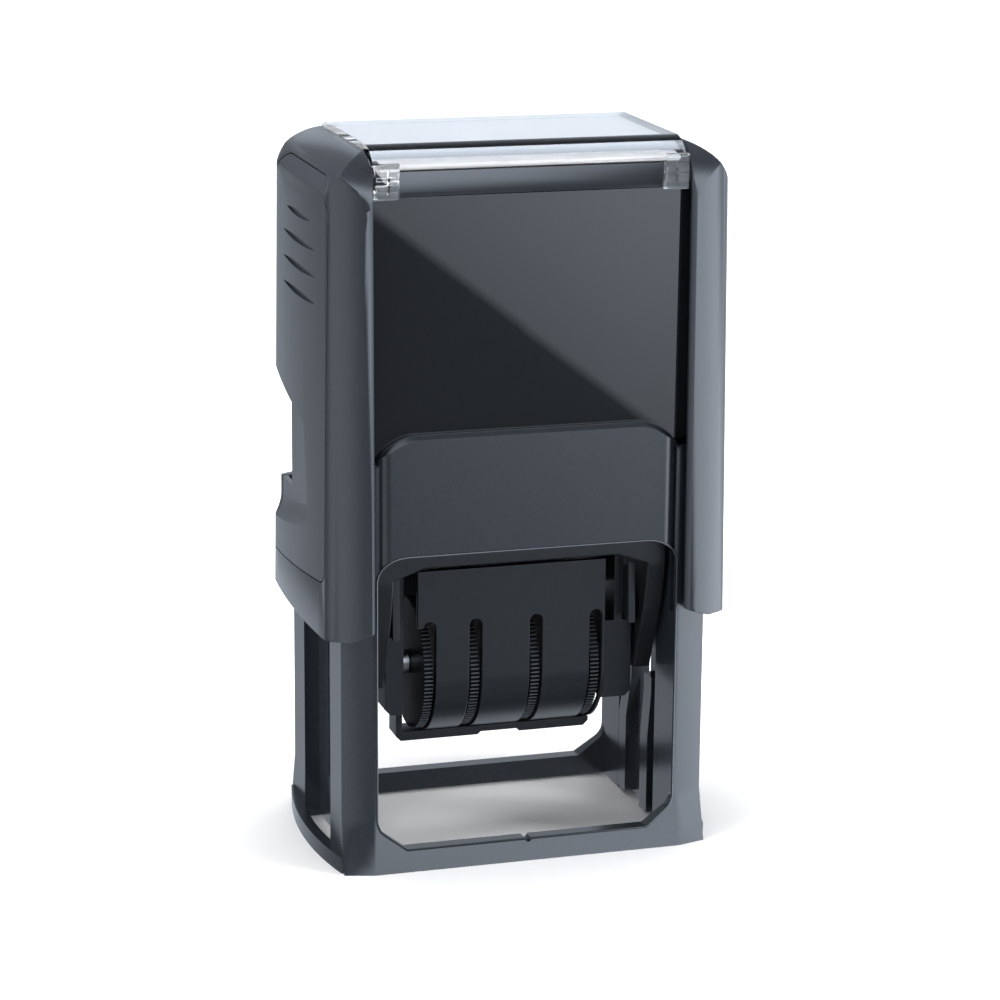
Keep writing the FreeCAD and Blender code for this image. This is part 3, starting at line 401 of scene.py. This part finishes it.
def tube(shape, path, radius, sides=8, closed=False):
    """A round rod along a path of points."""
    points = [Vector(point) for point in path]
    rings = []
    normal = None
    for i, point in enumerate(points):
        before = points[i - 1] if i or closed else point
        after = points[(i + 1) % len(points)] if i + 1 < len(points) or closed else point
        along = (after - before).normalized()
        if normal is None:
            normal = along.orthogonal().normalized()
        normal = (normal - along * normal.dot(along)).normalized()
        side = along.cross(normal)
        rings.append([point + (normal * math.cos(a) + side * math.sin(a)) * radius
                      for a in (2 * math.pi * k / sides for k in range(sides))])
    skin(shape, rings, closed=closed, caps=not closed)


def block(shape, low, high):
    """A box between two corners."""
    made = bmesh.ops.create_cube(shape, size=1)["verts"]
    bmesh.ops.scale(shape, vec=[b - a for a, b in zip(low, high)], verts=made)
    bmesh.ops.translate(shape, vec=[(a + b) / 2 for a, b in zip(low, high)], verts=made)


# Date wheels: a toothed disc and a smooth drum beside it
WHEELS = 4
TOOTH_COUNT = 100
TOOTH_DEPTH = 0.35
TOOTH_FORM = ((0, 0), (0.26, 0), (0.42, TOOTH_DEPTH), (0.84, TOOTH_DEPTH))  # share of the pitch, depth there
DISC_T = 1.2
DRUM_R = 4.9
DRUM_SIDES = 48
BORE_R = 1.16
for number in range(1, WHEELS + 1):
    node = f"date_wheel_{number}"
    low, high = box_mm(node)
    rim = (high[2] - low[2]) / 2
    middle = (high[2] + low[2]) / 2
    disc = (low[0], low[0] + DISC_T) if number == 1 else (high[0] - DISC_T, high[0])
    drum = (disc[1], high[0]) if number == 1 else (low[0], disc[0])
    teeth = [((tooth + share) / TOOTH_COUNT, rim - drop) for tooth in range(TOOTH_COUNT) for share, drop in TOOTH_FORM]
    shape = bmesh.new()
    washer(shape, teeth, BORE_R, *disc, middle)
    washer(shape, [(k / DRUM_SIDES, DRUM_R) for k in range(DRUM_SIDES)], BORE_R, *drum, middle)
    new_piece(f"toothed_{node}", shape, node, sharp=25, replace=True)

# Return springs: open coils whose last turn at each end lies nearly flat
WIRE_R = 0.4
COIL_STEPS = 24
COIL_TURNS = 10
COIL_END = 0.1  # share of the turns in each end
END_CLIMB = 0.25 * COIL_END
for node in ("return_spring_left", "return_spring_right"):
    low, high = box_mm(node)
    centre = (low[0] + high[0]) / 2
    radius = (high[0] - low[0]) / 2 - WIRE_R
    span = high[2] - low[2] - 2 * WIRE_R
    path = []
    for i in range(COIL_STEPS * COIL_TURNS + 1):
        share = i / (COIL_STEPS * COIL_TURNS)
        if share < COIL_END:
            climb = END_CLIMB * share / COIL_END
        elif share > 1 - COIL_END:
            climb = 1 - END_CLIMB * (1 - share) / COIL_END
        else:
            climb = END_CLIMB + (share - COIL_END) / (1 - 2 * COIL_END) * (1 - 2 * END_CLIMB)
        turn = 2 * math.pi * COIL_TURNS * share
        path.append((centre + radius * math.cos(turn), radius * math.sin(turn), low[2] + WIRE_R + span * climb))
    shape = bmesh.new()
    tube(shape, path, WIRE_R)
    coil = new_piece("coil_" + node, shape, node, replace=True)
    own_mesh(coil)

# The card: a flat sheet under the lid and a flap that follows the curve in front and behind
CARD_X = 20.2
CARD_FLAT_Y = 10.27
CARD_Z = 95.93
CARD_T = 0.3
FLAP = ((10.2, 96.0), (11.2, 95.92), (12.05, 95.78), (12.9, 95.55), (13.7, 95.26), (14.55, 94.89))  # Y and Z
shape = bmesh.new()
block(shape, (-CARD_X, -CARD_FLAT_Y, CARD_Z), (CARD_X, CARD_FLAT_Y, CARD_Z + CARD_T))
for side in (-1, 1):
    skin(shape, [[(x, side * y, z) for y, z in FLAP] + [(x, side * y, z + CARD_T) for y, z in FLAP[::-1]]
                 for x in (-CARD_X, CARD_X)], closed=False, caps=True)
new_piece("card_with_flaps", shape, "index_card", replace=True)

# Raised bead round the front window, on a face that flares out towards the foot
FACE_Y = 15.4
FLARE_Y = 17.0
FLARE_TOP = 7.3
BEAD_R = 0.16
EDGE = ((17.0, 2.95), (19.95, 5.15), (20.45, 5.6), (20.69, 6.03), (20.88, 6.55), (20.95, 7.15), (20.95, 40.6),
        (20.75, 41.4), (20.3, 42.15), (19.6, 42.7), (18.7, 43.2), (17.7, 43.5), (16.6, 43.6))  # X and Z
shape = bmesh.new()
path = [(x, -FACE_Y - max(0, FLARE_TOP - z) * (FLARE_Y - FACE_Y) / FLARE_TOP, z) for x, z in EDGE]
tube(shape, path + [(-x, y, z) for x, y, z in path[::-1]], BEAD_R, closed=True)
new_piece("window_bead", shape, "base_frame")

# Ridges that catch the light on the clear clips: from and to across the clip, bottom, top, and how proud
CLIP_OUT = 21.05
CLIP_IN = 18.1
CLIP_ROOT = 0.05
CLIP_RIDGES = (
    (CLIP_IN, CLIP_OUT, 95.05, 95.75, 0.12), (CLIP_IN, CLIP_OUT, 93.75, 94.2, 0.35),
    (CLIP_IN, CLIP_OUT, 92.3, 93.2, 0.2), (CLIP_IN, CLIP_OUT, 91.35, 91.7, 0.3),
    (CLIP_IN + 1.2, CLIP_IN + 1.5, 92.0, 95.0, 0.3))
low, high = box_mm("index_window")
shape = bmesh.new()
for side in (-1, 1):
    for x0, x1, z0, z1, proud in CLIP_RIDGES:
        xs = sorted((side * x0, side * x1))
        block(shape, (xs[0], low[1] - proud, z0), (xs[1], low[1] + CLIP_ROOT, z1))
new_piece("clip_ridges", shape, "index_window")

# Solids that are shown as they are
for node, item in nodes.items():
    if node not in SOFT_EDGES:
        item.data.materials.clear()
        item.data.materials.append(MATERIALS[slot_of[node]])

# Stage
TABLE_HALF = 4
SHADOW_IN = 0.02  # up to here from the middle of the foot the table is painted in full shade: darkest colour and no glow
SHADOW_OUT = 0.095
FLOOR_GLOW = 0.62
FLOOR_GLOW_NEAR = 0.0
# Near the foot the table's colour darkens to this and its glow falls to FLOOR_GLOW_NEAR: painted shade round the foot.
FLOOR_NEAR_PAINTED_SHADE = (0.6208, 0.6272, 0.64, 1)
FLOOR_FAR = (0.9, 0.9, 0.9, 1)


def floor_material():
    """A white table that is full white to the camera except near the foot, where a painted shade lies under the
    rendered soft shadow.
    """
    material = bpy.data.materials.new("white_table")
    material.use_nodes = True
    tree = material.node_tree
    tree.nodes.clear()
    link = tree.links.new
    away = vectors(tree, "LENGTH", add(tree, "ShaderNodeTexCoord").outputs["Object"])
    # Painted shade: glow and colour fall off towards the foot.
    far = map_range(tree, away, SHADOW_IN, SHADOW_OUT, FLOOR_GLOW_NEAR, FLOOR_GLOW, interpolation_type="SMOOTHSTEP")
    matte = add(tree, "ShaderNodeBsdfDiffuse")
    link(blend(tree, far, FLOOR_NEAR_PAINTED_SHADE, FLOOR_FAR), matte.inputs["Color"])
    glow = add(tree, "ShaderNodeEmission")
    link(far, glow.inputs["Strength"])
    both = add(tree, "ShaderNodeAddShader")
    fill(tree, both.inputs, (matte.outputs[0], glow.outputs[0]))
    mix = add(tree, "ShaderNodeMixShader")
    seen = add(tree, "ShaderNodeLightPath").outputs["Is Camera Ray"]
    fill(tree, mix.inputs, (seen, matte.outputs[0], both.outputs[0]))
    link(mix.outputs[0], add(tree, "ShaderNodeOutputMaterial").inputs["Surface"])
    return material


def stage_table():
    """The table under the foot, which no gloss shows."""
    shape = bmesh.new()
    bmesh.ops.create_grid(shape, x_segments=1, y_segments=1, size=1)
    bmesh.ops.scale(shape, vec=(TABLE_HALF, TABLE_HALF, 1), verts=shape.verts)
    mesh = bpy.data.meshes.new("table")
    shape.to_mesh(mesh)
    shape.free()
    plane = bpy.data.objects.new("table", mesh)
    mesh.materials.append(floor_material())
    bpy.context.scene.collection.objects.link(plane)
    plane.visible_glossy = False


SURROUND = 0.55  # how bright the room is for matt surfaces
CLEAR_VIEW = 1.05  # and how bright it is to the camera, also through the clear plastic
GLOSS_TINT = (0.9, 0.985, 1.11)
GLOSS_PEAK = 6.0  # how bright its brightest place is in a gloss
GLOSS_SPAN = 250.0  # degrees either side of straight ahead
GLOSS_LEAN = 1.37  # how much a place's height shifts it sideways, which sets the slant of the dark card's edge
# The room as a gloss shows it: degrees to the right of straight ahead, and how bright it is there
GLOSS_ROOM = (
    (-250, 0.6), (-205, 0.75), (-184, 0.6), (-171, 0.22), (-120, 0.45), (-85, 1.6), (-60, 1.8), (-38, 1.3),
    (-20, 0.8), (0.5, 1.6), (7.5, 3.1), (20, 4.6), (60, 5.5), (85, 1.6), (130, 1.0), (250, 0.8))
LOW_SHARE = 0.25  # how much of it is left far below the horizon
LOW_EDGES = (-60, -24)
HIGH_SHARE = 0.4  # and far above it
HIGH_EDGES = (26, 50)
CARD_SHARE = 0.2  # how much of that the dark card leaves
CARD_EDGES = (-50, -20, 1.0, 1.35)  # degrees: where the card begins, softly, and where it ends, sharply


def world_light():
    """Full white to the camera, plain for matt surfaces, and a dark card ahead between bright sides in a gloss."""
    world = bpy.data.worlds.new("studio")
    bpy.context.scene.world = world
    world.use_nodes = True
    tree = world.node_tree
    link = tree.links.new

    def between(value, first, last, low, high):
        return map_range(tree, value, math.radians(first), math.radians(last), low, high)

    path = add(tree, "ShaderNodeLightPath")
    plain = tree.nodes["Background"]
    plain.inputs["Color"].default_value = (1, 1, 1, 1)
    seen = maths(tree, "MAXIMUM", path.outputs["Is Camera Ray"], path.outputs["Is Transmission Ray"])
    link(map_range(tree, seen, low=SURROUND, high=CLEAR_VIEW), plain.inputs["Strength"])
    split = add(tree, "ShaderNodeSeparateXYZ")
    link(add(tree, "ShaderNodeTexCoord").outputs["Generated"], split.inputs[0])
    turn = maths(tree, "ARCTAN2", split.outputs["X"], maths(tree, "MULTIPLY", split.outputs["Y"], -1))
    climb = maths(tree, "ARCSINE", split.outputs["Z"])
    slant = maths(tree, "MULTIPLY_ADD", climb, GLOSS_LEAN, turn)
    ramp = add(tree, "ShaderNodeValToRGB")
    elements = ramp.color_ramp.elements
    while len(elements) < len(GLOSS_ROOM):
        elements.new(0.5)
    for element, (degrees, bright) in zip(elements, GLOSS_ROOM):
        element.position = (degrees + GLOSS_SPAN) / (2 * GLOSS_SPAN)
        element.color = (*(bright / GLOSS_PEAK * tint for tint in GLOSS_TINT), 1)
    link(between(slant, -GLOSS_SPAN, GLOSS_SPAN, 0, 1), ramp.inputs["Fac"])
    card = maths(tree, "MULTIPLY", between(slant, *CARD_EDGES[:2], 0, 1), between(slant, *CARD_EDGES[2:], 1, 0))
    level = map_range(tree, card, low=GLOSS_PEAK, high=GLOSS_PEAK * CARD_SHARE)
    for share in (between(climb, *LOW_EDGES, LOW_SHARE, 1), between(climb, *HIGH_EDGES, 1, HIGH_SHARE)):
        level = maths(tree, "MULTIPLY", level, share)
    gloss = add(tree, "ShaderNodeBackground")
    fill(tree, [gloss.inputs[label] for label in ("Color", "Strength")], (ramp.outputs["Color"], level))
    mix = add(tree, "ShaderNodeMixShader")
    fill(tree, mix.inputs, (path.outputs["Is Glossy Ray"], plain.outputs[0], gloss.outputs[0]))
    link(mix.outputs[0], tree.nodes["World Output"].inputs["Surface"])


LAMP_AIM = (0, 0, 0.05)
LAMPS = (  # name, place, width, height and power
    ("left_softbox", (-0.55, -0.12, 0.32), 0.35, 0.5, 4.0),
    ("right_softbox", (0.5, -0.3, 0.35), 0.2, 0.5, 4.0),
    ("top_softbox", (0.0, 0.1, 0.75), 0.6, 0.6, 6.0),
)


def softbox(name, place, width, height, power):
    """A wide lamp turned to the stamp, which no gloss shows."""
    data = bpy.data.lights.new(name, "AREA")
    data.shape = "RECTANGLE"
    data.size = width
    data.size_y = height
    data.energy = power
    lamp = bpy.data.objects.new(name, data)
    bpy.context.scene.collection.objects.link(lamp)
    lamp.location = place
    lamp.rotation_euler = (Vector(place) - Vector(LAMP_AIM)).to_track_quat("Z", "Y").to_euler()
    lamp.visible_glossy = False


stage_table()
world_light()
for lamp in LAMPS:
    softbox(*lamp)
